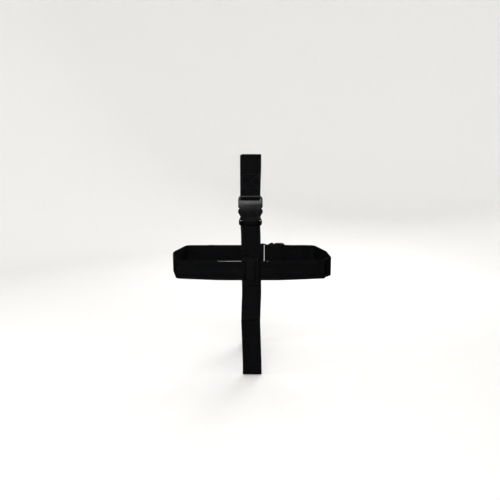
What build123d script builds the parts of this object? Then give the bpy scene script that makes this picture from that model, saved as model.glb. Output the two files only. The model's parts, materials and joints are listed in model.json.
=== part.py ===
from build123d import *
import os
from math import atan2, cos, degrees, hypot, sin, tan

# A cross luggage strap as it is worn: an upright loop and a girth loop of webbing that cross on the front of a
# case, each closed by a side-release buckle, with a cross slider where they meet. Millimetres, +Z up, front at -Y.
# The origin is the middle of the underside, where the upright loop stands.

# Webbing
webbing_width = 50.0
webbing_thickness = 1.5
layer_gap = 0.3
stitch_thickness = 0.35
stitch_width = 0.9

# Inside sizes of the two loops
case_height = 576.8
case_depth = 247.0
upright_corner_radius = 24.0
upright_foot_radius = 7.0
girth_front_half_width = 194.0
girth_middle_half_width = 216.0
girth_front_setback = 20.0
girth_corner_radius = 18.0
handle_start = 16.0
handle_rise_depth = 22.0

# Where the buckles sit, and their free tails
upright_buckle_drop = 153.8
girth_drop = 140.0
girth_mouth_offset = 52.0
upright_tail_length = 242.0
girth_tail_length = 150.0
upright_takeup_length = 246.0
girth_takeup_start = -110.0
tail_hem_fold = 12.0
girth_turnback_length = 66.0
upright_turnback_over = 38.0
lock_turn_length = 30.0

# Side-release buckle, both halves
buckle_side_rail = 4.9
buckle_thickness = 13.0
buckle_back_wall = 2.2
buckle_front_wall = 2.6
webbing_side_clearance = 0.8
bar_size = 3.5
bar_depth = 3.2
bar_rounding = 0.6
running_clearance = 0.3

# Buckle socket
socket_shell_length = 41.2
socket_length = 54.5
socket_corner_radius = 11.5
socket_window_radius = 6.0
outer_bar_size = 4.6
outer_bar_depth = 3.4
mouth_inset = 8.5
waist_inset = 5.5
notch_inset = 2.8
shoulder_start = 21.5
shoulder_rise = 3.3
shoulder_radius = 2.0
shell_fall_at_mouth = 0.9
shell_fall_at_top = 2.1
shell_crest = 14.0
shell_side_slope = 4.7
shell_side_drop = 3.4
ledge_thickness = 3.0
ledge_inset = 5.8
latch_side_wall = 3.0
guide_rib_gap = 13.0
guide_rib_start = 6.0

# Buckle plug
plug_length = 23.5
plug_inset = 1.4
plug_neck_inset = 5.5
plug_neck_length = 10.5
plug_corner_radius = 8.0
plug_front = 12.0
plug_side_slope = 8.5
plug_side_drop = 5.0
plug_root_length = 8.7
lock_slot = 3.3
lip_top = -11.2
lip_bend = -16.3
lip_front = 10.4
lip_tip_thickness = 1.2
lip_clearance = 1.0
tongue_length = 34.0
tongue_taper = 4.0

# Release prongs
prong_inset = 9.7
prong_pivot_drop = 3.0
prong_root_radius = 2.5
prong_thickness = 3.2
prong_depth = 6.6
prong_length = 37.5
prong_swing_room = 0.4
barb_thickness = 1.7
tab_proud = 0.3
tab_flank_low = 7.4
tab_flank_high = 19.8
tab_flank_inset = 2.1
tab_top = 20.6
grip_inset = 2.5
grip_depth = 10.6

# Cross slider
slider_width = 40.0
slider_height = 72.6
slider_side_bar = 4.5
slider_centre_bar = 20.0
slider_side_depth = 2.0
slider_centre_depth = 2.5
slider_slot_clearance = 0.6
slider_fillet = 3.0
slider_inner_fillet = 3.0
threaded_half_length = 32.0
girth_stretch_end = 110.0

os.makedirs("parts", exist_ok=True)

pitch = webbing_thickness + layer_gap
half_thickness = webbing_thickness / 2
case_front = case_depth / 2
girth_front_face = case_front + 2 * pitch
girth_back_face = case_front + pitch
upright_mouth_height = 2 * webbing_thickness + case_height - upright_buckle_drop
girth_height = upright_mouth_height - girth_drop

# Each buckle has its own frame: X across the strap, Z along it from the mouth towards the socket, and -Y away
# from the case. Distances away from the case's surface are called out.
bar_out = pitch
front_of_bar = bar_out + bar_depth + layer_gap
outer_bar_out = front_of_bar + pitch
inner_bar_low = socket_shell_length + pitch + layer_gap
socket_window = webbing_width / 2 + webbing_side_clearance
buckle_half = socket_window + buckle_side_rail
bar_span = 2 * socket_window + 2.0
buckle_back = layer_gap
buckle_front = layer_gap + buckle_thickness
cavity_low = buckle_back + buckle_back_wall
cavity_high = buckle_front - buckle_front_wall
cavity_depth = cavity_high - cavity_low
cavity_middle = (cavity_low + cavity_high) / 2
prong_low = cavity_middle - prong_depth / 2
prong_offset = buckle_half - prong_inset
ledge_half = buckle_half - ledge_inset
ledge_top = shoulder_start + ledge_thickness
lock_bar_top = -plug_root_length - lock_slot
lock_bar_low = lock_bar_top - bar_size
beyond = 1.0  # how far a cutting shape stands past what it cuts


def layer(index):
    """Distance from the case's surface to the middle of a webbing layer lying on it."""
    return index * pitch + half_thickness


def write(name, shape):
    export_step(shape, f"parts/{name}.step")


def ribbon(points, radii):
    """Webbing along a flat path of straight runs and arcs, extruded across its width about the plane."""
    half = half_thickness
    edges = {half: [], -half: []}
    ends = {}
    directions = []
    for start, end in zip(points, points[1:]):
        run = hypot(end[0] - start[0], end[1] - start[1])
        directions.append(((end[0] - start[0]) / run, (end[1] - start[1]) / run))
    for side in (half, -half):
        x, y = directions[0]
        last = (points[0][0] - side * y, points[0][1] + side * x)
        ends[side] = [last]
        for corner, radius, before, after in zip(points[1:], radii, directions, directions[1:]):
            turn = atan2(before[0] * after[1] - before[1] * after[0], before[0] * after[0] + before[1] * after[1])
            hand = 1 if turn > 0 else -1
            reach = radius * tan(abs(turn) / 2)
            centre_x = corner[0] - before[0] * reach - hand * radius * before[1]
            centre_y = corner[1] - before[1] * reach + hand * radius * before[0]
            offset_radius = radius - hand * side
            arc = []
            for share in (0, 0.5, 1):
                angle = atan2(before[1], before[0]) + share * turn
                arc.append(
                    (
                        centre_x + hand * offset_radius * sin(angle),
                        centre_y - hand * offset_radius * cos(angle),
                    )
                )
            edges[side].append(Line(last, arc[0]))
            edges[side].append(ThreePointArc(*arc))
            last = arc[2]
        x, y = directions[-1]
        end = (points[-1][0] - side * y, points[-1][1] + side * x)
        edges[side].append(Line(last, end))
        ends[side].append(end)
    caps = [Line(ends[half][0], ends[-half][0]), Line(ends[half][1], ends[-half][1])]
    return extrude(make_face(edges[half] + edges[-half] + caps), webbing_width / 2, both=True)


def strap_run(points, radii):
    """Webbing in a buckle's frame. Each point is (distance out, distance along)."""
    return Plane.YZ * ribbon([(-out, along) for out, along in points], radii)


def plate(outline, low, high):
    """A flat piece in a buckle's frame: an outline of (across, along), between two distances out."""
    return Plane.XZ.offset(low) * extrude(outline, high - low)


def side_prism(profile, half_width):
    """A side view of (distance in, along), run across the strap."""
    return extrude(Plane.YZ * profile, half_width, both=True)


def side_polygon(points):
    """A side view made from (distance out, along) points."""
    return Polygon(*[(-out, along) for out, along in points], align=None)


def section_prism(section, low, high):
    """An end view of (across, distance in), run along the strap."""
    return Pos(0, 0, low) * extrude(section, high - low)


def bar(along_low):
    """A straight bar across the strap, with its long edges rounded, as thick and deep as the webbing bars are."""
    section = Pos(-bar_out - bar_depth / 2, along_low + bar_size / 2) * RectangleRounded(
        bar_depth, bar_size, bar_rounding
    )
    return extrude(Plane.YZ * section, bar_span / 2, both=True)


def mirrored(points):
    """An outline of (across, along) points for the right half, closed by its own mirror image."""
    return Polygon(*points, *[(-across, along) for across, along in reversed(points)], align=None)


def eased_section(half, front, slope, drop, crown):
    """An end view with a crowned front that turns down in a curve towards each side."""
    low = front - drop
    edge = front - crown
    knee = half - slope
    knee_middle = (half - 0.28 * slope, edge - 0.28 * (edge - low))
    return make_face(
        [
            ThreePointArc((-knee, -edge), (0, -front), (knee, -edge)),
            ThreePointArc((knee, -edge), (knee_middle[0], -knee_middle[1]), (half, -low)),
            Line((half, -low), (half, 0)),
            Line((half, 0), (-half, 0)),
            Line((-half, 0), (-half, -low)),
            ThreePointArc((-half, -low), (-knee_middle[0], -knee_middle[1]), (-knee, -edge)),
        ]
    )


# Buckle socket: two plates joined by the shoulders, with a latch ledge inside, and a frame with two bars
def socket():
    half = buckle_half
    outline = mirrored(
        [
            (half - mouth_inset, 0),
            (half - waist_inset, shoulder_start - 0.9),
            (half - notch_inset, shoulder_start),
            (half, shoulder_start + shoulder_rise),
            (half, socket_length),
        ]
    )
    shoulder_corners = outline.vertices().filter_by(lambda corner: abs(corner.Y - shoulder_start - shoulder_rise) < 0.1)
    outline = fillet(shoulder_corners, shoulder_radius)
    outline = fillet(outline.vertices().group_by(Axis.Y)[-1], socket_corner_radius)
    bar_front = outer_bar_out + outer_bar_depth
    mouth_front = buckle_front - shell_fall_at_mouth
    top_front = buckle_front - shell_fall_at_top
    profile = make_face(
        [
            Line((-buckle_back, 0), (-mouth_front, 0)),
            ThreePointArc((-mouth_front, 0), (-buckle_front, shell_crest), (-top_front, socket_shell_length)),
            Line((-top_front, socket_shell_length), (-bar_front, socket_length - outer_bar_size)),
            ThreePointArc(
                (-bar_front, socket_length - outer_bar_size),
                (-bar_front + 0.7, socket_length - 0.3 * outer_bar_size),
                (-outer_bar_out - 0.6, socket_length),
            ),
            Line((-outer_bar_out - 0.6, socket_length), (-buckle_back, socket_length)),
            Line((-buckle_back, socket_length), (-buckle_back, 0)),
        ]
    )
    section = eased_section(half, buckle_front, shell_side_slope, shell_side_drop, 0.6)
    body = plate(outline, buckle_back, buckle_front) & side_prism(profile, half)
    body &= section_prism(section, 0, socket_length)
    front_window = Pos(0, (2 * socket_length - outer_bar_size + socket_shell_length - socket_length) / 2) * Rectangle(
        2 * socket_window, socket_length - outer_bar_size - socket_shell_length
    )
    front_window = fillet(front_window.vertices().group_by(Axis.Y)[-1], socket_window_radius)
    body -= plate(front_window, buckle_back, buckle_front + beyond)
    strap_way = Pos(0, (socket_shell_length + socket_length + beyond) / 2) * Rectangle(
        2 * socket_window, socket_length + beyond - socket_shell_length
    )
    body -= plate(strap_way, buckle_back - beyond, outer_bar_out)
    side_openings = Rectangle(2 * (half + beyond), shoulder_start + beyond)
    body -= plate(Pos(0, (shoulder_start - beyond) / 2) * side_openings, cavity_low, cavity_high)
    ledge_opening = Pos(0, shoulder_start + ledge_thickness / 2) * Rectangle(2 * ledge_half, ledge_thickness + beyond)
    body -= plate(ledge_opening, cavity_low, cavity_high)
    latch_room_top = socket_shell_length - buckle_back_wall
    latch_room = Rectangle(2 * (half - latch_side_wall), latch_room_top - ledge_top)
    body -= plate(Pos(0, (ledge_top + latch_room_top) / 2) * latch_room, cavity_low, cavity_high)
    rib = Rectangle(buckle_back_wall, latch_room_top - guide_rib_start)
    for side in (-1, 1):
        place = Pos(side * (guide_rib_gap + buckle_back_wall) / 2, (latch_room_top + guide_rib_start) / 2)
        body += plate(place * rib, cavity_low - running_clearance, cavity_high + running_clearance)
    return body + bar(inner_bar_low)


# Buckle plug: a root block with the guide tongue, and a ladder lock: a bar that the webbing turns over, and in
# front of it a lip that slopes back to the strap
def plug():
    half = buckle_half - plug_inset
    outline = mirrored([(half, -plug_length), (half, -plug_neck_length), (buckle_half - plug_neck_inset, 0)])
    outline = fillet(outline.vertices().group_by(Axis.Y)[0], plug_corner_radius)
    lip_back_low = layer(1) + half_thickness + lip_clearance
    tip = lip_back_low + lip_tip_thickness
    profile = make_face(
        [
            Line((-buckle_back, 0), (-plug_front, 0)),
            ThreePointArc((-plug_front, 0), (-plug_front + 0.4, lip_bend / 2), (-lip_front, lip_bend)),
            ThreePointArc(
                (-lip_front, lip_bend),
                (-(lip_front + tip) / 2 - 0.9, (lip_bend - plug_length) / 2 - 0.4),
                (-tip, -plug_length),
            ),
            Line((-tip, -plug_length), (-buckle_back, -plug_length)),
            Line((-buckle_back, -plug_length), (-buckle_back, 0)),
        ]
    )
    section = eased_section(half, plug_front, plug_side_slope, plug_side_drop, 0.3)
    body = plate(outline, buckle_back, plug_front) & side_prism(profile, half)
    body &= section_prism(section, -plug_length, 0)
    strap_way = side_polygon(
        [
            (-beyond, beyond),
            (-beyond, -plug_length - beyond),
            (lip_back_low, -plug_length - beyond),
            (lip_back_low, -plug_length + 0.9),
            (outer_bar_out, lip_bend),
            (outer_bar_out, lip_top),
            (plug_front + beyond, lip_top),
            (plug_front + beyond, -plug_root_length),
            (pitch, -plug_root_length),
            (pitch, beyond),
        ]
    )
    body -= side_prism(strap_way, socket_window)
    body += bar(lock_bar_low)
    tongue_half = guide_rib_gap / 2 - running_clearance
    tongue_outline = mirrored(
        [(tongue_half, -beyond), (tongue_half, tongue_length - tongue_taper), (tongue_half / 2, tongue_length)]
    )
    body += plate(tongue_outline, prong_low, prong_low + prong_depth)
    recess_width = prong_thickness + 2 * running_clearance + prong_swing_room
    for hand in (-1, 1):
        recess = Pos(hand * prong_offset, -prong_pivot_drop) * Circle(prong_root_radius + running_clearance)
        recess += Pos(hand * (prong_offset - prong_swing_room / 2), 0) * Rectangle(recess_width, 2 * prong_pivot_drop)
        body -= plate(recess, prong_low - running_clearance, prong_low + prong_depth + running_clearance)
    return body


# Release prong: a springy arm with a thumb tab at the side opening and a barb behind the latch ledge
def prong(hand):
    inner = prong_offset - prong_thickness / 2
    outer = prong_offset + prong_thickness / 2
    neck = ledge_half - 0.5
    tab = buckle_half + tab_proud
    flank = buckle_half - tab_flank_inset
    foot = buckle_half - plug_neck_inset
    barb_low = ledge_top + running_clearance
    barb_reach = buckle_half - latch_side_wall - running_clearance
    tab_edge = ThreePointArc(
        (flank, tab_flank_low), (tab, (tab_flank_low + tab_flank_high) / 2), (flank, tab_flank_high)
    )
    up_to_tab = [
        (inner, -prong_pivot_drop),
        (outer, -prong_pivot_drop),
        (outer, running_clearance),
        (foot, running_clearance),
        (flank, tab_flank_low),
    ]
    after_tab = [
        (flank, tab_flank_high),
        (neck, tab_top),
        (neck, barb_low),
        (barb_reach, barb_low),
        (barb_reach, barb_low + barb_thickness),
        (outer, prong_length),
        (inner, prong_length),
        (inner, -prong_pivot_drop),
    ]
    runs = [Line(*ends) for points in (up_to_tab, after_tab) for ends in zip(points, points[1:])]
    arm = make_face(runs + [tab_edge])
    grip_room = Pos(buckle_half - grip_inset + 5, (tab_flank_low + tab_flank_high) / 2) * Rectangle(
        10, tab_flank_high - tab_flank_low + 4
    )
    grip = arm & grip_room
    arm += Pos(prong_offset, -prong_pivot_drop) * Circle(prong_root_radius)
    shape = plate(arm, prong_low, prong_low + prong_depth)
    shape += plate(grip, cavity_middle - grip_depth / 2, cavity_middle + grip_depth / 2)
    return shape if hand > 0 else mirror(shape, about=Plane.YZ)


# The free end: from the load side, round the lock bar and down behind the lip
round_bar = front_of_bar + half_thickness
lock_top = lock_bar_top + layer_gap + half_thickness
dive_start = lock_bar_low - bar_rounding
dive_length = 4.5
bar_bend = 1.2
dive_bend = 1.5


def lock_turn():
    return strap_run(
        [
            (layer(0), -lock_turn_length),
            (layer(0), lock_top),
            (round_bar, lock_top),
            (round_bar, dive_start),
            (layer(1), dive_start - dive_length),
            (layer(1), -lock_turn_length),
        ],
        [bar_bend, bar_bend, dive_bend, dive_bend],
    )


def tail(length):
    return strap_run([(layer(1), -lock_turn_length), (layer(1), -lock_turn_length - length)], [])


def tail_stitching(length):
    """Two sewn rows across the tail's hem."""
    out = layer(1) + half_thickness
    rows = []
    for row in (0.25, 0.85):
        along = -lock_turn_length - length + row * tail_hem_fold
        rows.append(Pos(0, along) * Rectangle(webbing_width - 6.0, stitch_width))
    return Compound([plate(row, out, out + stitch_thickness) for row in rows])


# The sewn end: down on the case, round the socket's inner bar, and back up on top of itself
turn_low = inner_bar_low - layer_gap - half_thickness
slope_length = 13.0
past_cut_end = 5.0
settle_length = 10.0
slope_bend = 8.0
settle_bend = 12.0
sewn_turn = [
    (layer(0), turn_low),
    (round_bar, turn_low),
    (round_bar, socket_length),
    (layer(1), socket_length + slope_length),
]
sewn_bends = [bar_bend, bar_bend, slope_bend, slope_bend]
girth_turnback_end = inner_bar_low + girth_turnback_length


def box_stitching():
    """A sewn box with a cross in it, through the strap and its turnback."""
    out = layer(1) + half_thickness
    low = socket_length + slope_length + 4.0
    high = girth_turnback_end - 3.0
    across = webbing_width - 9.0
    along = high - low
    middle = (low + high) / 2
    seam = Rectangle(across, along) - Rectangle(across - 2 * stitch_width, along - 2 * stitch_width)
    diagonal = hypot(across, along) - 2.2 * stitch_width
    for hand in (-1, 1):
        seam += Rot(0, 0, hand * degrees(atan2(along, across))) * Rectangle(diagonal, stitch_width)
    return plate(Pos(0, middle) * seam, out, out + stitch_thickness)


# Placing the two buckles: the upright one on the front, the girth one on the back, beside the upright strap
upright_place = Plane(origin=(0, -case_front, upright_mouth_height), x_dir=(1, 0, 0), z_dir=(0, 0, 1)).location
girth_place = Plane(
    origin=(girth_mouth_offset, girth_back_face, girth_height), x_dir=(0, 0, 1), z_dir=(1, 0, 0)
).location
buckles = (("upright", upright_place, upright_tail_length), ("girth", girth_place, girth_tail_length))

for strap, place, tail_length in buckles:
    write(f"{strap}_buckle_socket", place * socket())
    write(f"{strap}_buckle_plug", place * plug())
    write(f"{strap}_buckle_prong_left", place * prong(-1))
    write(f"{strap}_buckle_prong_right", place * prong(1))
    write(f"{strap}_webbing_lock_turn", place * lock_turn())
    write(f"{strap}_webbing_tail", place * tail(tail_length))
    write(f"{strap}_tail_stitching", place * tail_stitching(tail_length))
    write(f"{strap}_box_stitching", place * box_stitching())


# Upright webbing: from the socket over the top, down the back, under the case and up the front
takeup_low = -lock_turn_length - upright_takeup_length


def upright_loop():
    """The turnback starts on the top, so the strap lies double over the front corner."""
    front = layer(0)
    back = -case_depth - half_thickness
    top = webbing_thickness + case_height + half_thickness - upright_mouth_height
    bottom = half_thickness - upright_mouth_height
    double_end = -upright_turnback_over - past_cut_end
    corner = upright_corner_radius
    foot = upright_foot_radius
    points = [(-upright_turnback_over, top), (front, top), *sewn_turn, (layer(1), top + pitch)]
    points += [(double_end, top + pitch), (double_end - settle_length, top)]
    points += [(back, top), (back, bottom), (front, bottom), (front, takeup_low)]
    bends = [corner, *sewn_bends, corner + pitch, settle_bend, settle_bend, corner, foot, foot]
    return strap_run(points, bends)


write("upright_webbing_loop", upright_place * upright_loop())
takeup = strap_run([(layer(0), takeup_low), (layer(0), -lock_turn_length)], [])
write("upright_webbing_takeup", upright_place * takeup)

# Girth webbing, as (x, y) points round the case at the girth's height
front_line = -girth_front_face - half_thickness
back_line = girth_back_face + half_thickness
corner_line = front_line + girth_front_setback
bow_start = threaded_half_length + 50.0
bow_slope = girth_front_setback / (girth_front_half_width - bow_start)
side_front = -10.0
side_back = 20.0
stretch_y = front_line + (girth_stretch_end - bow_start) * bow_slope
bow_radius = 480.0
side_radius = 60.0
handle_radius = 9.0
corner_after_handle_radius = 7.0


def girth_run(points, radii):
    return Pos(0, 0, girth_height) * ribbon(points, radii)


def girth_front(hand):
    """From the threaded part to where the webbing stops stretching, on one side of the front."""
    points = [(threaded_half_length, front_line), (bow_start, front_line), (girth_stretch_end, stretch_y)]
    longest = 0.98 * (girth_stretch_end - bow_start) / tan(atan2(bow_slope, 1) / 2)
    return girth_run([(hand * x, y) for x, y in points], [min(bow_radius, longest)])


def girth_socket_side():
    """From the rear socket round the right side, out over the case's side handle, to the front."""
    double_end = girth_turnback_end + past_cut_end
    sewn_end = [(layer(0), girth_turnback_end), *sewn_turn, (layer(1), double_end), (layer(0), double_end + settle_length)]
    points = [(girth_mouth_offset + along, girth_back_face + out) for out, along in sewn_end]
    points += [
        (girth_front_half_width, back_line),
        (girth_middle_half_width, side_back),
        (girth_middle_half_width, corner_line + handle_start + handle_rise_depth),
        (girth_front_half_width + 5.0, corner_line + handle_start),
        (girth_front_half_width, corner_line),
        (girth_stretch_end, stretch_y),
    ]
    side_radii = [girth_corner_radius, side_radius, handle_radius, handle_radius, corner_after_handle_radius]
    return girth_run(points, [*sewn_bends, settle_bend, settle_bend, *side_radii])


def girth_plug_side():
    """From the front round the left side to where the rear webbing starts to give."""
    points = [
        (-girth_stretch_end, stretch_y),
        (-girth_front_half_width, corner_line),
        (-girth_middle_half_width, side_front),
        (-girth_middle_half_width, side_back),
        (-girth_front_half_width, back_line),
        (girth_takeup_start, back_line),
    ]
    return girth_run(points, [girth_corner_radius, side_radius, side_radius, girth_corner_radius])


# Cross slider: two end bars joined by a broad centre bar in front of the webbing and two side bars behind it
slider_back = girth_front_face
side_bar_front = slider_back + slider_side_depth
webbing_over = side_bar_front + layer_gap + half_thickness
centre_bar_back = slider_back + pitch
slider_front = centre_bar_back + slider_centre_depth
slot_height = webbing_width + 2 * slider_slot_clearance
side_bar_middle = slider_width / 2 - slider_side_bar / 2
dive_bend_at_slider = 3.0


def threaded_webbing():
    """Over a side bar, under the centre bar and over the other side bar."""
    low = slider_back + half_thickness
    right = [
        (slider_centre_bar / 2 + 1.0, low),
        (side_bar_middle - slider_side_bar / 2 - 0.35, webbing_over),
        (side_bar_middle + 3.8, webbing_over),
        (slider_width / 2 + 5.5, low),
        (threaded_half_length, low),
    ]
    points = [(-x, -out) for x, out in reversed(right)] + [(x, -out) for x, out in right]
    return girth_run(points, [dive_bend_at_slider] * 8)


def cross_slider():
    frame = RectangleRounded(slider_width, slider_height, slider_fillet)
    slot = Rectangle(slider_width / 2 - slider_centre_bar / 2 - slider_side_bar, slot_height)
    slot_middle = (slider_centre_bar + slot.width) / 2
    for hand in (-1, 1):
        opening = Pos(hand * slot_middle, 0) * slot
        inner_corners = opening.vertices().sort_by(Axis.X, reverse=hand < 0)[:2]
        frame -= fillet(inner_corners, slider_inner_fillet)
    body = plate(frame, slider_back, slider_front)
    for hand in (-1, 1):
        over_side_bar = Pos(hand * side_bar_middle, 0) * Rectangle(slider_side_bar + 2 * beyond, slot_height)
        body -= plate(over_side_bar, side_bar_front, slider_front + beyond)
    behind_centre_bar = Rectangle(slider_centre_bar + 2 * slider_inner_fillet, slot_height)
    body -= plate(behind_centre_bar, slider_back - beyond, centre_bar_back)
    return Pos(0, 0, girth_height) * body


write("girth_webbing_front_right", girth_front(1))
write("girth_webbing_front_left", girth_front(-1))
write("girth_webbing_socket_side", girth_socket_side())
write("girth_webbing_plug_side", girth_plug_side())
girth_takeup = [(girth_takeup_start, back_line), (girth_mouth_offset - lock_turn_length, back_line)]
write("girth_webbing_takeup", girth_run(girth_takeup, []))
write("girth_webbing_threaded", threaded_webbing())
write("cross_slider", cross_slider())
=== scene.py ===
import json
from math import atan2, pi, radians

import bmesh
import bpy
import numpy as np
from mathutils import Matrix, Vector

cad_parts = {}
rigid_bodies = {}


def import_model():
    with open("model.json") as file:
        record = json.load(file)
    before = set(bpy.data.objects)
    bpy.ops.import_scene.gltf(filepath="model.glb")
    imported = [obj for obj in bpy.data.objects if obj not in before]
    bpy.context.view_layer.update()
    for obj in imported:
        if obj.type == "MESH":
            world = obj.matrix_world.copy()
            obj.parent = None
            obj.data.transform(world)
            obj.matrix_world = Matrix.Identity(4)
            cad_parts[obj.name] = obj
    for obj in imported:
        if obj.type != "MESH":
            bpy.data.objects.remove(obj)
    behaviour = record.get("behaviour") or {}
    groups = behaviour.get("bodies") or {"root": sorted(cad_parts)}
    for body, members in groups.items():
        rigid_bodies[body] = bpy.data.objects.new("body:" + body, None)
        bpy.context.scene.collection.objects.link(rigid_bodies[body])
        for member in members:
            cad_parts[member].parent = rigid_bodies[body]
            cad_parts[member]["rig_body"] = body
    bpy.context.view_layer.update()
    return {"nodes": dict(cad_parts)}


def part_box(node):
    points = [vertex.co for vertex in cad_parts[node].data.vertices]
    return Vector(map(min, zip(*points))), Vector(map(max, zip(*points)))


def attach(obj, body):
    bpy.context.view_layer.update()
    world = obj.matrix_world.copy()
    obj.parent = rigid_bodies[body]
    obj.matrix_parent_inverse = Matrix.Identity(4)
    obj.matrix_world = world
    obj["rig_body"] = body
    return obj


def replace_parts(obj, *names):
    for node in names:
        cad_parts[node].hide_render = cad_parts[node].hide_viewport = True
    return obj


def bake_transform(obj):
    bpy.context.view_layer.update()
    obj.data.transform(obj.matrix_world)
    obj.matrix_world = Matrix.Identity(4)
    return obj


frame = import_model()
mm = 0.001  # sizes below are in millimetres, the scene is in metres

webbing = {
    "width": 50.0,
    "thickness": 1.5,
    "layerGap": 0.3,        # between two layers, and round the bars
    "edgeRadius": 0.66,     # the woven selvedge is nearly half round
    "crown": 0.10,          # the faces are a little fuller in the middle
    "rowStep": 4.0,
}
layerPitch = webbing["thickness"] + webbing["layerGap"]


def layer(index):  # middle of a layer of webbing, counted out from the case
    return index * layerPitch + webbing["thickness"] / 2


# Each buckle's own frame is (out from the case, along towards the socket, across), in millimetres.
socketLow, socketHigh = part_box("upright_buckle_socket")
uprightFace = socketHigh.y / mm + webbing["layerGap"]
uprightMouth = socketLow.z / mm
socketLow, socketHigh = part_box("girth_buckle_socket")
girthFace = socketLow.y / mm - webbing["layerGap"]
girthMouth = socketLow.x / mm
girthMiddle = (socketLow.z + socketHigh.z) / 2 / mm


def uprightPlace(out, along, across):
    return np.stack([across, uprightFace - out, uprightMouth + along], -1) * mm


def girthPlace(out, along, across):
    return np.stack([girthMouth + along, girthFace + out, girthMiddle + across], -1) * mm


def levelPlace(x, y, across):  # a route round the case at the girth's height
    return np.stack([x, y, girthMiddle + across], -1) * mm


# Materials

def hexColour(text):
    channels = np.array([int(text[i:i + 2], 16) for i in (1, 3, 5)]) / 255
    linear = np.where(channels <= 0.04045, channels / 12.92, ((channels + 0.055) / 1.055) ** 2.4)
    return (*linear, 1.0)


def addNode(tree, kind, settings=None, inputs=None):
    node = tree.nodes.new(kind)
    for key, value in (settings or {}).items():
        setattr(node, key, value)
    for key, value in (inputs or {}).items():
        if isinstance(value, bpy.types.NodeSocket):
            tree.links.new(value, node.inputs[key])
        else:
            node.inputs[key].default_value = value
    return node


def newMaterial(name):
    material = bpy.data.materials.new(name)
    material.use_nodes = True
    tree = material.node_tree
    return material, tree, tree.nodes["Principled BSDF"]


def maths(tree, operation, first, second=0.0, third=0.0):
    node = addNode(tree, "ShaderNodeMath", {"operation": operation}, {0: first, 1: second, 2: third})
    return node.outputs[0]


polypropylene = {
    "ground": "#020203",       # dope-dyed black yarn; this darkest end of the ramp is also painted shade down between the floats and in the grooves
    "paintedCrestHighlight": "#0d0e10",        # painted highlight where the floats of yarn would catch the light
    "columnWidth": 3.1,        # herringbone columns, as wide as they need to show
    "floatPitch": 2.4,         # along the strap, from one float to the next
    "floatSlant": 1.1,
    "bandAt": 13.6,            # the two grooves that part the edge bands from the middle
    "bandWidth": 1.3,
    "patch": (4.0, 36.0),      # uneven patches, across and along
    "fuzz": 0.4,
    "weaveDepth": 0.16,
    "roughness": (0.58, 0.72),
}


def wovenPolypropylene():
    # Woven polypropylene webbing: matt black, with herringbone columns running along it; their faint glint is a painted
    # highlight on the floats, with painted shade in the hollows.
    material, tree, shader = newMaterial("wovenPolypropylene")
    place = addNode(tree, "ShaderNodeAttribute", {"attribute_name": "webPlace"}).outputs["Vector"]
    axes = addNode(tree, "ShaderNodeSeparateXYZ", inputs={0: place}).outputs
    across = maths(tree, "DIVIDE", axes[0], polypropylene["columnWidth"] * mm)
    along = maths(tree, "DIVIDE", axes[1], polypropylene["floatPitch"] * mm)
    slant = maths(tree, "MULTIPLY", maths(tree, "PINGPONG", across, 1.0), polypropylene["floatSlant"])
    floats = maths(tree, "SINE", maths(tree, "MULTIPLY", maths(tree, "ADD", along, slant), 2 * pi))
    columns = maths(tree, "COSINE", maths(tree, "MULTIPLY", across, 2 * pi))
    weave = maths(tree, "MULTIPLY_ADD", floats, 0.30, maths(tree, "MULTIPLY_ADD", columns, -0.20, 0.5))
    # the woven-in grooves, one each side: sunk in the bump, and painted darker in the colour as painted shade
    fromBand = maths(tree, "SUBTRACT", maths(tree, "ABSOLUTE", axes[0]), polypropylene["bandAt"] * mm)
    groove = addNode(tree, "ShaderNodeMapRange", {"interpolation_type": "SMOOTHSTEP"},
                     {"Value": maths(tree, "ABSOLUTE", fromBand), "From Min": 0.0,
                      "From Max": polypropylene["bandWidth"] * mm}).outputs[0]
    # the yarn isn't even, so patches a few centimetres long sit lighter or darker
    wide, long = (1 / (size * mm) for size in polypropylene["patch"])
    stretched = addNode(tree, "ShaderNodeMapping", inputs={"Vector": place, "Scale": (wide, long, 1.0)})
    uneven = addNode(tree, "ShaderNodeTexNoise", inputs={"Vector": stretched.outputs[0], "Scale": 1.0,
                                                         "Detail": 3.0, "Roughness": 0.55}).outputs[0]
    fuzz = addNode(tree, "ShaderNodeTexNoise", inputs={"Vector": place, "Scale": 1 / (polypropylene["fuzz"] * mm),
                                                       "Detail": 2.0}).outputs[0]
    height = maths(tree, "MULTIPLY_ADD", fuzz, 0.25, maths(tree, "MULTIPLY", weave, groove))
    # the colour mixes the yarn's uneven tone with painted light: weave crests painted lighter as a painted highlight,
    # hollows and grooves painted darker as painted shade
    yarnToneAndPaintedWeaveLight = maths(tree, "MULTIPLY_ADD", uneven, 0.55, maths(tree, "MULTIPLY", height, 0.6))
    ramp = addNode(tree, "ShaderNodeValToRGB", inputs={0: yarnToneAndPaintedWeaveLight})
    for element, position, colour in zip(ramp.color_ramp.elements, (0.25, 0.85), ("ground", "paintedCrestHighlight")):
        element.position = position
        element.color = hexColour(polypropylene[colour])
    bump = addNode(tree, "ShaderNodeBump", inputs={"Height": height, "Strength": 0.8,
                                                   "Distance": polypropylene["weaveDepth"] * mm})
    low, high = polypropylene["roughness"]
    roughness = addNode(tree, "ShaderNodeMapRange", inputs={"Value": uneven, "From Min": 0.3, "From Max": 0.7,
                                                            "To Min": low, "To Max": high})
    tree.links.new(ramp.outputs[0], shader.inputs["Base Color"])
    tree.links.new(bump.outputs[0], shader.inputs["Normal"])
    tree.links.new(roughness.outputs[0], shader.inputs["Roughness"])
    shader.inputs["Specular IOR Level"].default_value = 0.04  # the weave shades itself, so less light comes back
    return material


acetal = {
    "fresh": "#050506",
    "worn": "#0a0a0c",
    "roughness": (0.27, 0.36),
    "grain": 0.55,             # spark-eroded mould texture
    "grainDepth": 0.010,
    "handling": 14.0,
}


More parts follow.
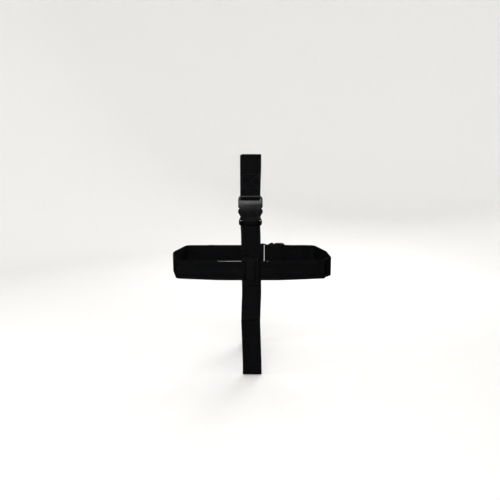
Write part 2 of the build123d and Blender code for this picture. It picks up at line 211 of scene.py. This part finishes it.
def mouldedAcetal():
    # Injection-moulded acetal: satin black, a fine mould texture, and slightly duller patches from handling.
    material, tree, shader = newMaterial("mouldedAcetal")
    place = addNode(tree, "ShaderNodeTexCoord").outputs["Object"]
    grain = addNode(tree, "ShaderNodeTexNoise", inputs={"Vector": place, "Scale": 1 / (acetal["grain"] * mm),
                                                        "Detail": 2.0, "Roughness": 0.5}).outputs[0]
    handling = addNode(tree, "ShaderNodeTexNoise", inputs={"Vector": place, "Scale": 1 / (acetal["handling"] * mm),
                                                           "Detail": 4.0, "Roughness": 0.6}).outputs[0]
    low, high = acetal["roughness"]
    patches = addNode(tree, "ShaderNodeMapRange", inputs={"Value": handling, "From Min": 0.35, "From Max": 0.7,
                                                          "To Min": low, "To Max": high})
    colour = addNode(tree, "ShaderNodeMix", {"data_type": "RGBA"},
                     {0: handling, 6: hexColour(acetal["fresh"]), 7: hexColour(acetal["worn"])})
    bump = addNode(tree, "ShaderNodeBump", inputs={"Height": grain, "Strength": 0.6,
                                                   "Distance": acetal["grainDepth"] * mm})
    tree.links.new(colour.outputs[2], shader.inputs["Base Color"])
    tree.links.new(patches.outputs[0], shader.inputs["Roughness"])
    tree.links.new(bump.outputs[0], shader.inputs["Normal"])
    shader.inputs["IOR"].default_value = 1.48
    return material


# the light colour is a painted highlight on the raised twist of the plies; the dark colour is the thread's own black
thread = {"dark": "#0d0d0f", "light": "#1e1e21", "twist": 1.6, "depth": 0.08, "roughness": 0.45}


def bondedPolyester():
    # Bonded polyester thread: black, a little glossier than the webbing, with the twist of its plies, whose raised
    # ridges are painted lighter as a painted highlight.
    material, tree, shader = newMaterial("bondedPolyester")
    place = addNode(tree, "ShaderNodeTexCoord").outputs["Object"]
    twist = addNode(tree, "ShaderNodeTexWave", {"bands_direction": "DIAGONAL"},
                    {"Vector": place, "Scale": 1 / (thread["twist"] * mm), "Distortion": 0.4}).outputs[1]
    bump = addNode(tree, "ShaderNodeBump", inputs={"Height": twist, "Strength": 0.5,
                                                   "Distance": thread["depth"] * mm})
    # painted highlight: lighter where the twist rises
    colour = addNode(tree, "ShaderNodeMix", {"data_type": "RGBA"},
                     {0: twist, 6: hexColour(thread["dark"]), 7: hexColour(thread["light"])})
    tree.links.new(colour.outputs[2], shader.inputs["Base Color"])
    tree.links.new(bump.outputs[0], shader.inputs["Normal"])
    shader.inputs["Roughness"].default_value = thread["roughness"]
    return material


webbingMaterial = wovenPolypropylene()
buckleMaterial = mouldedAcetal()
threadMaterial = bondedPolyester()
print("materials made")


# Meshes

def finishMesh(name, mesh, material, sharpAngle=40):
    work = bmesh.new()
    work.from_mesh(mesh)
    bmesh.ops.recalc_face_normals(work, faces=work.faces)
    work.to_mesh(mesh)
    work.free()
    mesh.polygons.foreach_set("use_smooth", np.ones(len(mesh.polygons), bool))
    mesh.set_sharp_from_angle(angle=radians(sharpAngle))
    mesh.materials.append(material)
    piece = bpy.data.objects.new(name, mesh)
    bpy.context.scene.collection.objects.link(piece)
    return piece


def roundedRoute(points, radii, step=webbing["rowStep"]):
    # straight runs joined by tangent arcs: the points along it, and the direction at each
    points = np.array(points, float)
    runs = np.diff(points, axis=0)
    runs /= np.linalg.norm(runs, axis=1)[:, None]
    places, directions, last = [], [], points[0]

    def straight(start, end, direction):
        length = np.linalg.norm(end - start)
        share = np.linspace(0, 1, max(2, int(np.ceil(length / step)) + 1))[:, None]
        if length > 1e-6:
            places.append(start + (end - start) * share)
            directions.append(np.repeat(direction[None], len(share), 0))

    for corner, radius, before, after in zip(points[1:], radii, runs, runs[1:]):
        turn = atan2(before[0] * after[1] - before[1] * after[0], before @ after)
        reach = radius * np.tan(abs(turn) / 2)
        straight(last, corner - before * reach, before)
        side = np.sign(turn) * np.array([-before[1], before[0]])
        centre = corner - before * reach + side * radius
        angle = np.linspace(0, turn, max(3, int(np.ceil(abs(turn) / radians(9))) + 1))[1:-1, None]
        places.append(centre + radius * (before * np.sin(abs(angle)) - side * np.cos(angle)))
        directions.append(before * np.cos(angle) + side * np.sin(abs(angle)))
        last = corner + after * reach
    straight(last, points[-1], runs[-1])
    return np.concatenate(places), np.concatenate(directions)


def bandRing():
    # once round the section of the webbing, as (out, across): two crowned faces and two rounded selvedges
    half, thick, r = webbing["width"] / 2, webbing["thickness"] / 2, webbing["edgeRadius"]
    face = np.linspace(r - half, half - r, 25)
    front = np.stack([thick + webbing["crown"] * (1 - (face / (half - r)) ** 2), face], -1)
    angle = np.linspace(pi / 2, 0, 5)[1:]
    edge = np.stack([thick - r + r * np.sin(angle), half - r + r * np.cos(angle)], -1)
    side = np.concatenate([front, edge, edge[::-1] * (-1, 1)])
    return np.concatenate([side, -side])


def gridFaces(rows, ring):
    i, j = np.meshgrid(np.arange(rows - 1), np.arange(ring), indexing="ij")
    k = (j + 1) % ring
    return np.stack([i * ring + j, i * ring + k, (i + 1) * ring + k, (i + 1) * ring + j], -1).reshape(-1, 4)


def webbingPiece(name, points, radii, place, startAlong=0.0, sway=None):
    # the ring is carried along the route, standing square to it, and each point keeps where it is in the weave
    route, direction = roundedRoute(points, radii)
    normal = np.stack([-direction[:, 1], direction[:, 0]], -1)
    ring = bandRing()
    spot = route[:, None] + normal[:, None] * ring[None, :, :1]
    across = np.broadcast_to(ring[:, 1], spot.shape[:2])
    gone = np.concatenate([[0], np.cumsum(np.linalg.norm(np.diff(route, axis=0), axis=1))])
    surface = place(spot[..., 0], spot[..., 1], across)
    if sway:
        surface[..., 0] += sway(surface, gone[:, None])
    rows, count = spot.shape[:2]
    caps = [list(range(count))[::-1], list(range((rows - 1) * count, rows * count))]
    mesh = bpy.data.meshes.new(name)
    mesh.from_pydata(surface.reshape(-1, 3), [], gridFaces(rows, count).tolist() + caps)
    weave = np.stack([across, np.broadcast_to(startAlong + gone[:, None], across.shape),
                      np.broadcast_to(ring[:, 0], across.shape)], -1) * mm
    mesh.attributes.new("webPlace", "FLOAT_VECTOR", "POINT").data.foreach_set("vector", weave.ravel())
    return finishMesh(name, mesh, webbingMaterial, 60), startAlong + gone[-1]


stitch = {"length": 2.5, "pitch": 3.1, "radius": 0.30, "sink": 0.05, "gone": 103.0}


def stitchRun(start, end):
    # middles and directions of the stitches along one sewn line, as (across, along)
    start, end = np.array(start, float), np.array(end, float)
    length = np.linalg.norm(end - start)
    count = max(1, int(round(length / stitch["pitch"])))
    share = (np.arange(count) + 0.5) / count
    middles = start + (end - start) * share[:, None]
    return middles, np.repeat(((end - start) / length)[None], count, 0)


def stitchPiece(name, runs, out, place, sway=None):
    # every stitch is one capsule of eight sides, pulled down into the webbing at its ends
    middles, ways = (np.concatenate(part) for part in zip(*[stitchRun(*run) for run in runs]))
    seed = np.random.default_rng(7)
    ways = ways + seed.normal(0, 0.035, ways.shape)
    ways /= np.linalg.norm(ways, axis=1)[:, None]
    length = np.array([-0.5, -0.47, -0.36, 0.0, 0.36, 0.47, 0.5]) * stitch["length"]
    girth = np.array([0.25, 0.75, 1.0, 1.0, 1.0, 0.75, 0.25]) * stitch["radius"]
    lift = np.array([-0.28, -0.16, -0.03, 0.06, -0.03, -0.16, -0.28])
    angle = np.arange(8) * pi / 4
    offset = girth[:, None] * np.cos(angle)
    rise = girth[:, None] * np.sin(angle) + lift[:, None] - stitch["sink"]
    side = np.stack([-ways[:, 1], ways[:, 0]], -1)
    flat = (middles[:, None, None] + ways[:, None, None] * length[:, None, None]
            + side[:, None, None] * offset[..., None])
    points = place(out + np.broadcast_to(rise, flat.shape[:3]), flat[..., 1], flat[..., 0])
    if sway:
        points[..., 0] += sway(points, flat[..., 1] + stitch["gone"])
    count, block = len(middles), len(length) * 8
    quads = gridFaces(len(length), 8)
    faces = (np.arange(count)[:, None, None] * block + quads).reshape(-1, 4).tolist()
    for base in range(0, count * block, block):
        faces += [list(range(base + 7, base - 1, -1)), list(range(base + block - 8, base + block))]
    mesh = bpy.data.meshes.new(name)
    mesh.from_pydata(points.reshape(-1, 3), [], faces)
    return finishMesh(name, mesh, threadMaterial, 80)


# Webbing routes in a buckle's frame, as (out, along)
lock = {"barOut": 1.8, "barDepth": 3.2, "barTop": -12.0, "barLow": -15.5, "dive": 4.5, "start": -30.0,
        "barBend": 1.2, "diveBend": 1.5, "barEasing": 0.6}
hem = {"fold": 11.0, "liftStart": 26.0, "liftEnd": 15.0, "liftBend": 30.0, "foldBend": 0.88,
       "rows": (4.0, 9.5), "seamInset": 3.0}
sewn = {"barLow": 43.3, "socketLength": 54.5, "slopeEnd": 67.5, "seamEnd": 106.3, "cutEnd": 109.3,
        "pastCutEnd": 5.0, "settle": 10.0, "slopeBend": 8.0, "settleBend": 12.0, "seamStart": 4.0, "seamInset": 4.5}
frontOfBar = lock["barOut"] + lock["barDepth"] + layerPitch - webbing["thickness"] / 2


def tailRoute(length):
    # up behind the lock bar, round it, down under the end bar, and to a hem folded back on the case's side
    lift = layer(1) + layerPitch
    turn = lock["barTop"] + webbing["layerGap"] + webbing["thickness"] / 2
    low = lock["start"] - length + webbing["thickness"] / 2
    barEnd = lock["barLow"] - lock["barEasing"]
    points = [(layer(0), lock["start"]), (layer(0), turn), (frontOfBar, turn), (frontOfBar, barEnd),
              (layer(1), barEnd - lock["dive"]), (layer(1), low + hem["liftStart"]), (lift, low + hem["liftEnd"]),
              (lift, low), (layer(1), low), (layer(1), low + hem["fold"])]
    return points, [lock["barBend"]] * 2 + [lock["diveBend"]] * 2 + [hem["liftBend"]] * 2 + [hem["foldBend"]] * 2


def sewnTurn():
    # down behind the socket's inner bar, round it, and out over the turnback
    turn = sewn["barLow"] - webbing["layerGap"] - webbing["thickness"] / 2
    points = [(layer(0), turn), (frontOfBar, turn), (frontOfBar, sewn["socketLength"]), (layer(1), sewn["slopeEnd"])]
    return points, [lock["barBend"]] * 2 + [sewn["slopeBend"]] * 2


def addStitching(strapName, place, tailLength, root, plugBody, sway=None):
    low, high = sewn["slopeEnd"] + sewn["seamStart"], sewn["seamEnd"]
    wide = webbing["width"] / 2 - sewn["seamInset"]
    box = [((-wide, low), (wide, low)), ((wide, low), (wide, high)), ((wide, high), (-wide, high)),
           ((-wide, high), (-wide, low)), ((-wide, low), (wide, high)), ((-wide, high), (wide, low))]
    outside = layer(1) + webbing["thickness"] / 2 + webbing["crown"] * 0.8
    piece = stitchPiece(f"{strapName}BoxStitches", box, outside, place, sway)
    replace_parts(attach(piece, root), f"{strapName}_box_stitching")
    end = lock["start"] - tailLength
    across = webbing["width"] / 2 - hem["seamInset"]
    rows = [((-across, end + at), (across, end + at)) for at in hem["rows"]]
    piece = stitchPiece(f"{strapName}HemStitches", rows, outside + layerPitch, place, sway)
    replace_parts(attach(piece, plugBody), f"{strapName}_tail_stitching")


# The upright strap

uprightSway = {  # the hand-laid strap sways a few millimetres sideways
    "heights": [0, 39, 95, 150, 180, 222, 240, 270, 330, 380, 400],
    "belowBuckle": [4.9, 4.5, 2.7, 0.8, 1.6, 3.1, 3.2, 2.7, 1.6, 1.0, 0.0],
    "distances": [0, 137, 145, 156, 225, 265, 505, 1075, 1313],
    "fromCutEnd": [-1.0, -0.7, -0.2, -0.1, 1.9, 2.3, 1.0, 2.0, 4.9],
}


# how far the turnback lies on the case's top, and the bends round the case's top and bottom edges
caseEdges = {"turnbackOver": 38.0, "corner": 24.0, "foot": 7.0}


def uprightDrift(points, gone):
    # by height on the front below the buckle, and elsewhere by the distance from the webbing's cut end
    height = points[..., 2] / mm
    below = np.interp(height, uprightSway["heights"], uprightSway["belowBuckle"])
    beyond = np.interp(gone, uprightSway["distances"], uprightSway["fromCutEnd"])
    return np.where((points[..., 1] < -0.1) & (height < 420), below, beyond) * mm


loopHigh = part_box("upright_webbing_loop")[1] / mm
takeupLow, takeupHigh = (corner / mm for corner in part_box("upright_webbing_takeup"))
tailLow, tailHigh = (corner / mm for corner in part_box("upright_webbing_tail"))
root = "worn_loops"

# the turnback starts on the top, so the strap lies double over the front corner
doubledTop = loopHigh.z - uprightMouth - webbing["thickness"] / 2
top = doubledTop - layerPitch
floor = webbing["thickness"] / 2 - uprightMouth
back = -(loopHigh.y - uprightFace) + webbing["thickness"] / 2
turnPoints, turnRadii = sewnTurn()
doubleEnd = -caseEdges["turnbackOver"] - sewn["pastCutEnd"]
points = [(-caseEdges["turnbackOver"], top), (layer(0), top), *turnPoints, (layer(1), doubledTop),
          (doubleEnd, doubledTop), (doubleEnd - sewn["settle"], top), (back, top), (back, floor), (layer(0), floor),
          (layer(0), takeupLow.z - uprightMouth)]
corner, foot = caseEdges["corner"], caseEdges["foot"]
settleRadii = [sewn["settleBend"]] * 2
radii = [corner, *turnRadii, corner + layerPitch, *settleRadii, corner, foot, foot]
piece, travelled = webbingPiece("uprightWebbing", points, radii, uprightPlace, sway=uprightDrift)
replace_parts(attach(piece, root), "upright_webbing_loop")

piece, travelled = webbingPiece("uprightTakeup", [(layer(0), takeupLow.z - uprightMouth), (layer(0), lock["start"])],
                                [], uprightPlace, travelled, uprightDrift)
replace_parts(piece, "upright_webbing_takeup")
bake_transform(piece)

tailLength = tailHigh.z - tailLow.z
points, radii = tailRoute(tailLength)
piece, travelled = webbingPiece("uprightTail", points, radii, uprightPlace, travelled, uprightDrift)
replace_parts(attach(piece, "upright_plug"), "upright_webbing_lock_turn", "upright_webbing_tail")
addStitching("upright", uprightPlace, tailLength, root, "upright_plug", uprightDrift)
print("upright strap made")


# The girth strap

girth = {"frontHalf": 194.0, "middleHalf": 216.0, "setback": 20.0, "bowStart": 82.0, "threaded": 32.0,
         "stretch": 110.0, "takeup": -110.0, "sideFront": -10.0, "sideBack": 20.0, "bowBend": 310,
         "cornerBend": 18, "sideBend": 60, "handleDeep": 38, "handleStart": 16, "handleOut": 5, "handleBend": 9,
         "afterHandleBend": 7}
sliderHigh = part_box("cross_slider")[1] / mm
frontLine = sliderHigh.y - webbing["thickness"] / 2
cornerLine = frontLine + girth["setback"]
backLine = girthFace + webbing["thickness"] / 2
bowSlope = girth["setback"] / (girth["frontHalf"] - girth["bowStart"])
stretchY = frontLine + (girth["stretch"] - girth["bowStart"]) * bowSlope

doubleEnd = sewn["cutEnd"] + sewn["pastCutEnd"]
points = [(layer(0), sewn["cutEnd"]), *turnPoints, (layer(1), doubleEnd), (layer(0), doubleEnd + sewn["settle"])]
points = [(girthMouth + along, girthFace + out) for out, along in points]
points += [(girth["frontHalf"], backLine), (girth["middleHalf"], girth["sideBack"]),
           (girth["middleHalf"], cornerLine + girth["handleDeep"]),
           (girth["frontHalf"] + girth["handleOut"], cornerLine + girth["handleStart"]),
           (girth["frontHalf"], cornerLine), (girth["stretch"], stretchY)]
radii = [*turnRadii, *settleRadii, girth["cornerBend"], girth["sideBend"], girth["handleBend"],
         girth["handleBend"], girth["afterHandleBend"]]
piece, travelled = webbingPiece("girthSocketSide", points, radii, levelPlace)
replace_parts(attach(piece, root), "girth_webbing_socket_side")

for hand, side in ((1, "Right"), (-1, "Left")):
    points = [(hand * girth["stretch"], stretchY), (hand * girth["bowStart"], frontLine),
              (hand * girth["threaded"], frontLine)]
    piece, length = webbingPiece(f"girthFront{side}", points, [girth["bowBend"]], levelPlace, travelled)
    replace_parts(piece, f"girth_webbing_front_{side.lower()}")
    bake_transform(piece)

slider = {"sideBar": 4.5, "centreBar": 20.0, "sideDepth": 2.0, "halfWidth": 20.0, "pastCentre": 1.0,
          "beforeSide": 0.35, "pastSide": 3.8, "landing": 5.5, "bend": 3.0}
over = -sliderHigh.y + slider["sideDepth"] + webbing["layerGap"] + webbing["thickness"] / 2
barMiddle = slider["halfWidth"] - slider["sideBar"] / 2
right = [(slider["centreBar"] / 2 + slider["pastCentre"], -frontLine),
         (barMiddle - slider["sideBar"] / 2 - slider["beforeSide"], over), (barMiddle + slider["pastSide"], over),
         (slider["halfWidth"] + slider["landing"], -frontLine), (girth["threaded"], -frontLine)]
points = [(-x, -out) for x, out in right[::-1]] + [(x, -out) for x, out in right]
piece, length = webbingPiece("girthThreaded", points, [slider["bend"]] * 8, levelPlace, travelled)
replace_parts(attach(piece, "cross_slider"), "girth_webbing_threaded")

points = [(-girth["stretch"], stretchY), (-girth["frontHalf"], cornerLine), (-girth["middleHalf"], girth["sideFront"]),
          (-girth["middleHalf"], girth["sideBack"]), (-girth["frontHalf"], backLine), (girth["takeup"], backLine)]
radii = [girth["cornerBend"], girth["sideBend"], girth["sideBend"], girth["cornerBend"]]
piece, length = webbingPiece("girthPlugSide", points, radii, levelPlace, travelled)
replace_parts(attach(piece, root), "girth_webbing_plug_side")

points = [(girth["takeup"], backLine), (girthMouth + lock["start"], backLine)]
piece, length = webbingPiece("girthTakeup", points, [], levelPlace, travelled)
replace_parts(piece, "girth_webbing_takeup")
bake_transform(piece)

tailLow, tailHigh = (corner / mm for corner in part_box("girth_webbing_tail"))
tailLength = tailHigh.x - tailLow.x
points, radii = tailRoute(tailLength)
piece, length = webbingPiece("girthTail", points, radii, girthPlace, travelled)
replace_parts(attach(piece, "girth_plug"), "girth_webbing_lock_turn", "girth_webbing_tail")
addStitching("girth", girthPlace, tailLength, root, "girth_plug")
print("girth strap made")


# Moulded parts: the CAD shape with its edges eased as a mould leaves them

mould = {"easing": 0.45, "segments": 3, "sharpAngle": 30, "flatAngle": 0.5}


def mouldedPiece(node):
    body = frame["nodes"][node]["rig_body"]
    mesh = frame["nodes"][node].data.copy()
    mesh.name = node + "Moulded"
    work = bmesh.new()
    work.from_mesh(mesh)
    bmesh.ops.remove_doubles(work, verts=work.verts, dist=1e-6)
    bmesh.ops.dissolve_limit(work, angle_limit=radians(mould["flatAngle"]), verts=work.verts, edges=work.edges)
    work.to_mesh(mesh)
    work.free()
    mesh.materials.clear()
    piece = finishMesh(node + "Moulded", mesh, buckleMaterial, mould["sharpAngle"])
    bevel = piece.modifiers.new("easedEdges", "BEVEL")
    bevel.width = mould["easing"] * mm
    bevel.segments = mould["segments"]
    bevel.limit_method = "ANGLE"
    bevel.angle_limit = radians(mould["sharpAngle"])
    bevel.harden_normals = True
    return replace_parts(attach(piece, body), node)


for node in frame["nodes"]:
    if "buckle" in node or node == "cross_slider":
        mouldedPiece(node)
print("moulded parts made")


# Stage, lights and camera

studio = {"floorRadius": 1700.0, "bend": 700.0, "height": 3400.0, "rings": 12, "spokes": 96,
          "paint": "#f2f1ef", "paintRoughness": 0.8, "sky": "#f4f5f7", "skyStrength": 1.05}


def studioBowl():
    # a flat floor that curves up into a round wall: a profile of (radius, height) turned round the upright axis
    angle = np.linspace(0, pi / 2, studio["rings"])
    radius = np.concatenate([[studio["floorRadius"] / 2], studio["floorRadius"] + studio["bend"] * np.sin(angle),
                             [studio["floorRadius"] + studio["bend"]]])
    height = np.concatenate([[0], studio["bend"] * (1 - np.cos(angle)), [studio["height"]]])
    turn = np.linspace(0, 2 * pi, studio["spokes"], endpoint=False)[:, None]
    points = np.stack([radius * np.cos(turn), radius * np.sin(turn), np.broadcast_to(height, (len(turn), len(height)))],
                      -1) * mm
    rows = len(height)
    i, j = np.meshgrid(np.arange(studio["spokes"]), np.arange(rows - 1), indexing="ij")
    k = (i + 1) % studio["spokes"]
    faces = np.stack([i * rows + j, i * rows + j + 1, k * rows + j + 1, k * rows + j], -1).reshape(-1, 4)
    mesh = bpy.data.meshes.new("studioBowl")
    middle = [list(range(0, studio["spokes"] * rows, rows))]
    mesh.from_pydata(points.reshape(-1, 3), [], faces.tolist() + middle)
    mesh.polygons.foreach_set("use_smooth", np.ones(len(mesh.polygons), bool))
    return mesh


floorMaterial, tree, shader = newMaterial("studioPaint")
shader.inputs["Base Color"].default_value = hexColour(studio["paint"])
shader.inputs["Roughness"].default_value = studio["paintRoughness"]
bowl = bpy.data.objects.new("studioBowl", studioBowl())
bowl.data.materials.append(floorMaterial)
bowl.visible_glossy = False  # the black parts mirror the softboxes and not the pale floor
bpy.context.scene.collection.objects.link(bowl)

world = bpy.data.worlds.new("studio")
world.use_nodes = True
world.node_tree.nodes["Background"].inputs[0].default_value = hexColour(studio["sky"])
world.node_tree.nodes["Background"].inputs[1].default_value = studio["skyStrength"]
world.cycles_visibility.glossy = False
bpy.context.scene.world = world


def softLight(name, place, target, size, power):
    data = bpy.data.lights.new(name, "AREA")
    data.shape = "RECTANGLE"
    data.size, data.size_y = size
    data.energy = power
    light = bpy.data.objects.new(name, data)
    light.location = place
    light.rotation_euler = (Vector(target) - Vector(place)).to_track_quat("-Z", "Y").to_euler()
    light.visible_camera = False
    bpy.context.scene.collection.objects.link(light)


softboxes = {  # place and target in metres, width and height in metres, power in watts
    "frontSoftbox": ((-0.2, -1.45, 0.98), (0, -0.13, 0.45), (0.7, 0.62), 8.5),
    "leftStrip": ((-1.7, -0.5, 0.9), (0, 0, 0.35), (0.4, 1.2), 8),
    "backStrip": ((0.6, 1.55, 1.15), (0.05, 0.13, 0.35), (0.9, 0.6), 14),
}
for name, settings in softboxes.items():
    softLight(name, *settings)
print("stage and lights made")

view = {"distance": 1300.0, "height": 569.0, "tilt": 10.0, "focal": 515.0, "aside": -1.0}
camera = bpy.data.objects.new("camera", bpy.data.cameras.new("camera"))
camera.location = Vector((view["aside"], uprightFace - view["distance"], view["height"])) * mm
camera.rotation_euler = (radians(90 - view["tilt"]), 0, 0)
camera.data.sensor_width = 36
camera.data.lens = view["focal"] / 500 * 36
bpy.context.scene.collection.objects.link(camera)
bpy.context.scene.camera = camera
bpy.context.scene.view_settings.view_transform = "Standard"
